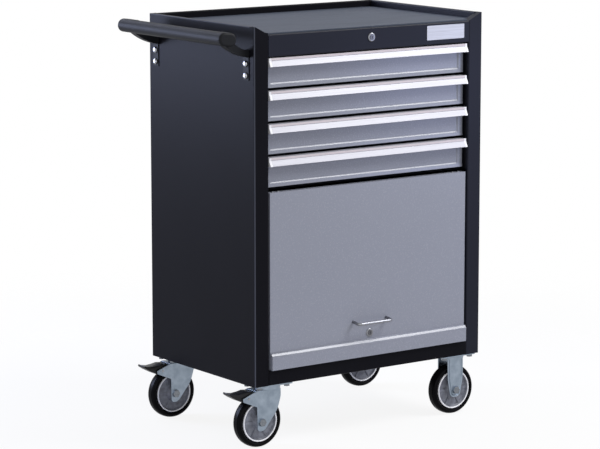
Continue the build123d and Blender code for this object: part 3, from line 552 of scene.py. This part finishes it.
pedal_side = [
    (-0.051, -0.0140), (-0.066, -0.0125), (-0.078, -0.0150), (-0.094, -0.0165), (-0.107, -0.0145),
    (-0.1155, -0.0115), (-0.1160, -0.0165), (-0.104, -0.0245), (-0.086, -0.0340), (-0.072, -0.0400),
    (-0.058, -0.0360), (-0.051, -0.0280),
]
pedal_reach, pedal_drop, pedal_half, pedal_round = 0.119, 0.012, 0.016, 0.0012
pin_place, pin_radius, pin_end_radius, pin_chamfer = Vector((-0.066, 0, -0.029)), 0.003, 0.0026, 0.0006
for end in ("front", "rear"):
    low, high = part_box(f"brake_pedal_{end}")
    pivot = Vector((low.x + pedal_reach, (low.y + high.y) / 2, high.z + pedal_drop))
    bm = bmesh.new()
    cheek = bm.faces.new([bm.verts.new((x, -pedal_half, z)) for x, z in pedal_side])
    extrude(bm, [cheek], (0, 2 * pedal_half, 0))
    round_edges(bm, bm.edges[:], pedal_round, segments=2, clamp_overlap=True)
    piece(f"pedal_{end}", bm, black_nylon, f"pedal_{end}", [f"brake_pedal_{end}"],
          place=pivot)
    pin_half = (high.y - low.y) / 2
    pin = mirrored([(-pin_half, 0.0), (-pin_half, pin_end_radius), (-pin_half + pin_chamfer, pin_radius)])
    piece(f"pedal_pin_{end}", turned(pin, pivot + pin_place, steps=24), nickel, f"pedal_{end}")


# Wheels: a grey polypropylene hub with ribs, a pale rim band, and a black rubber tyre moulded on to it.
# The tyre's crown is round, with a groove each side of the middle of the tread.
tyre_rubber = moulding("moulded black rubber", "#09090b", "#060608", roughness=0.34, gloss=0.04, patch=0.02)
hub_plastic = moulding(
    "moulded grey polypropylene", "#8d909a", "#33353e", roughness=0.40, gloss=0.3, patch=0.010)
band_plastic = moulding(
    "moulded pale polypropylene", "#efeff2", "#e4e4e8", roughness=0.4, gloss=0.4, patch=0.02)
hub_radius, band_width, shoulder, rim_inset = 0.0482, 0.0033, 0.0030, 0.0006
band_radius, axle_radius = hub_radius - band_width, 0.0061
rib_count, rib_width, rib_length, rib_middle, rib_inset = 6, 0.0055, 0.030, 0.030, 0.0046
for wheel in ("left_front", "left_rear", "right_front", "right_rear"):
    low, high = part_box(f"tyre_{wheel}")
    centre = (low + high) / 2
    radius, half = (high.z - low.z) / 2, (high.y - low.y) / 2
    rim = half - rim_inset
    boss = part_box(f"hub_{wheel}")[1].y - centre.y
    tread = mirrored([
        (-half + shoulder + 0.001, hub_radius - 0.0004), (-half + shoulder, hub_radius + 0.0012),
        (-half + 0.0006, radius - 0.0080), (-half + 0.0009, radius - 0.0055),
        (-half + 0.0024, radius - 0.0030), (-half + 0.0045, radius - 0.0015),
        (-half + 0.0075, radius - 0.0007), (-half + 0.0081, radius - 0.0018),
        (-half + 0.0089, radius - 0.0018), (-half + 0.0095, radius - 0.0003), (0.0, radius),
    ])
    band = mirrored([
        (-rim + 0.0008, band_radius), (-rim, band_radius + 0.0008),
        (-rim - 0.0004, hub_radius - band_width / 2), (-rim, hub_radius - 0.0006),
        (-rim + 0.0008, hub_radius), (-rim + shoulder + 0.001, hub_radius),
    ])
    dish = mirrored([
        (rim - 0.001, band_radius), (rim - 0.0035, band_radius - 0.002), (rim - 0.0062, 0.041),
        (rim - 0.0066, 0.030), (rim - 0.0060, 0.020), (boss - 0.002, 0.0155), (boss, 0.0142),
        (boss, axle_radius),
    ])
    piece(f"wheel_tyre_{wheel}", turned(tread, centre), tyre_rubber, f"wheel_{wheel}",
          [f"tyre_{wheel}"])
    piece(f"wheel_band_{wheel}", turned(band, centre), band_plastic, f"wheel_{wheel}")
    bm = turned(dish, centre)
    rib = bmesh.ops.create_cube(bm, size=1.0)["verts"]
    bmesh.ops.scale(bm, verts=rib, vec=(rib_length, 2 * (rim - rib_inset), rib_width))
    bmesh.ops.translate(bm, verts=rib, vec=centre + Vector((rib_middle, 0, 0)))
    rib_edges = dict.fromkeys(edge for vert in rib for edge in vert.link_edges)
    rib_faces = dict.fromkeys(face for vert in rib for face in vert.link_faces)
    bmesh.ops.spin(
        bm, geom=[*rib, *rib_edges, *rib_faces], cent=centre, axis=(0, 1, 0),
        angle=math.tau * (1 - 1 / rib_count), steps=rib_count - 1, use_duplicate=True)
    bmesh.ops.recalc_face_normals(bm, faces=bm.faces)
    piece(f"wheel_hub_{wheel}", bm, hub_plastic, f"wheel_{wheel}", [f"hub_{wheel}"])


# Studio: a pale floor that keeps the soft shadow and fades out into white, and large soft lamps.
# The key hangs above the right front, and a weaker lamp above the back. One rakes the left side from behind,
# and two fills no higher than the chest, white at the left and cool at the right, open up the front.
def seen_directly(tree):
    """1 for the rays that show a surface to the camera, also by way of metal or glass, and 0 for the rest."""
    rays = add_node(tree, "ShaderNodeLightPath").outputs
    seen = rays["Is Camera Ray"]
    for ray in ("Is Glossy Ray", "Is Transmission Ray"):
        seen = add_node(tree, "ShaderNodeMath", {0: seen, 1: rays[ray]}, operation="MAXIMUM").outputs["Value"]
    return seen


floor_radius, fade_start, fade_end, floor_lift = 2.4, 0.8, 2.2, 0.88
floor_material, floor_tree, floor_place = start_material("pale studio floor")
_, floor_colour = two_tones(floor_tree, floor_place, "#e4e4e6", "#e0e0e2", patch=0.6, detail=2.0)
floor_skin = add_node(floor_tree, "ShaderNodeBsdfPrincipled", {"Base Color": floor_colour, "Roughness": 0.9})
floor_white = add_node(floor_tree, "ShaderNodeEmission", {"Color": linear("#ffffff"), "Strength": 1.0})
whiteness = add_node(
    floor_tree, "ShaderNodeMapRange",
    {"Value": seen_directly(floor_tree), "To Min": 0.0, "To Max": floor_lift})
floor_pale = add_node(
    floor_tree, "ShaderNodeMixShader",
    {0: whiteness.outputs["Result"], 1: floor_skin.outputs["BSDF"], 2: floor_white.outputs["Emission"]})
floor_reach = add_node(floor_tree, "ShaderNodeVectorMath", {0: floor_place}, operation="LENGTH")
floor_fade = add_node(
    floor_tree, "ShaderNodeMapRange",
    {"Value": floor_reach.outputs["Value"], "From Min": fade_start, "From Max": fade_end},
    interpolation_type="SMOOTHSTEP")
nothing = add_node(floor_tree, "ShaderNodeBsdfTransparent")
floor_edge = add_node(
    floor_tree, "ShaderNodeMixShader",
    {0: floor_fade.outputs["Result"], 1: floor_pale.outputs["Shader"], 2: nothing.outputs["BSDF"]})
add_node(floor_tree, "ShaderNodeOutputMaterial", {"Surface": floor_edge.outputs["Shader"]})
floor_bm = bmesh.new()
bmesh.ops.create_circle(floor_bm, cap_ends=True, segments=96, radius=floor_radius)
floor_mesh = bpy.data.meshes.new("studio_floor")
floor_bm.to_mesh(floor_mesh)
floor_bm.free()
floor_mesh.materials.append(floor_material)
floor = bpy.data.objects.new("studio_floor", floor_mesh)
bpy.context.scene.collection.objects.link(floor)


def soft_lamp(name, place, aim, size, watts, colour):
    """A square soft box that faces a point."""
    lamp = bpy.data.lights.new(name, "AREA")
    lamp.shape = "SQUARE"
    lamp.size = size
    lamp.energy = watts
    lamp.color = linear(colour)[:3]
    holder = bpy.data.objects.new(name, lamp)
    holder.location = place
    holder.rotation_euler = (Vector(aim) - Vector(place)).to_track_quat("-Z", "Y").to_euler()
    holder.visible_camera = False
    bpy.context.scene.collection.objects.link(holder)


soft_lamp("key_soft_box", (1.6, -1.4, 2.6), (0.0, 0.0, 0.5), size=1.4, watts=80.0, colour="#ffffff")
soft_lamp("left_fill", (-1.6, -2.4, 1.0), (0.0, -0.2, 0.5), size=1.2, watts=16.0, colour="#ffffff")
soft_lamp("top_soft_box", (-0.4, 2.4, 2.6), (-0.2, 0.0, 1.0), size=1.2, watts=26.0, colour="#d8e0ff")
soft_lamp("left_rake", (-1.75, 1.9, 1.1), (-0.36, 0.0, 0.8), size=1.0, watts=66.0, colour="#ccd8ff")
soft_lamp("right_fill", (1.0, -1.15, 0.75), (0.33, -0.23, 0.75), size=0.40, watts=2.2, colour="#b9c6ff")

sky_light, sky_white = 0.32, 1.0
world = bpy.data.worlds.new("white studio")
bpy.context.scene.world = world
world.use_nodes = True
sky = world.node_tree
sky.nodes.clear()
strength = add_node(
    sky, "ShaderNodeMapRange", {"Value": seen_directly(sky), "To Min": sky_light, "To Max": sky_white})
light = add_node(
    sky, "ShaderNodeBackground", {"Color": linear("#ffffff"), "Strength": strength.outputs["Result"]})
add_node(sky, "ShaderNodeOutputWorld", {"Surface": light.outputs["Background"]})
bpy.context.scene.view_settings.view_transform = "Standard"


# Camera: a long lens at the photograph's angle, low and to the left of the front.
# Its distance and aim put the chest where the photograph has it in a 600 by 449 frame.
view_turn, view_rise, view_distance = math.radians(-35.705), math.radians(9.58), 6.7266
aim_left, aim_in, aim_up = 0.04413, 0.230, 0.3306
fascia_low, fascia_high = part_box("front_fascia")
side_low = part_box("left_side_panel")[0]
middle_x = (fascia_low.x + fascia_high.x) / 2
aim = Vector((middle_x - aim_left, side_low.y + aim_in, side_low.z + aim_up))
level = math.cos(view_rise)
back = Vector((math.sin(view_turn) * level, -math.cos(view_turn) * level, math.sin(view_rise)))
lens = bpy.data.cameras.new("studio_camera")
lens.sensor_width = 36.0
lens.lens = 163.63
lens.clip_end = 60.0
camera = bpy.data.objects.new("studio_camera", lens)
camera.location = aim + back * view_distance
camera.rotation_euler = back.to_track_quat("Z", "Y").to_euler()
bpy.context.scene.collection.objects.link(camera)
bpy.context.scene.camera = camera
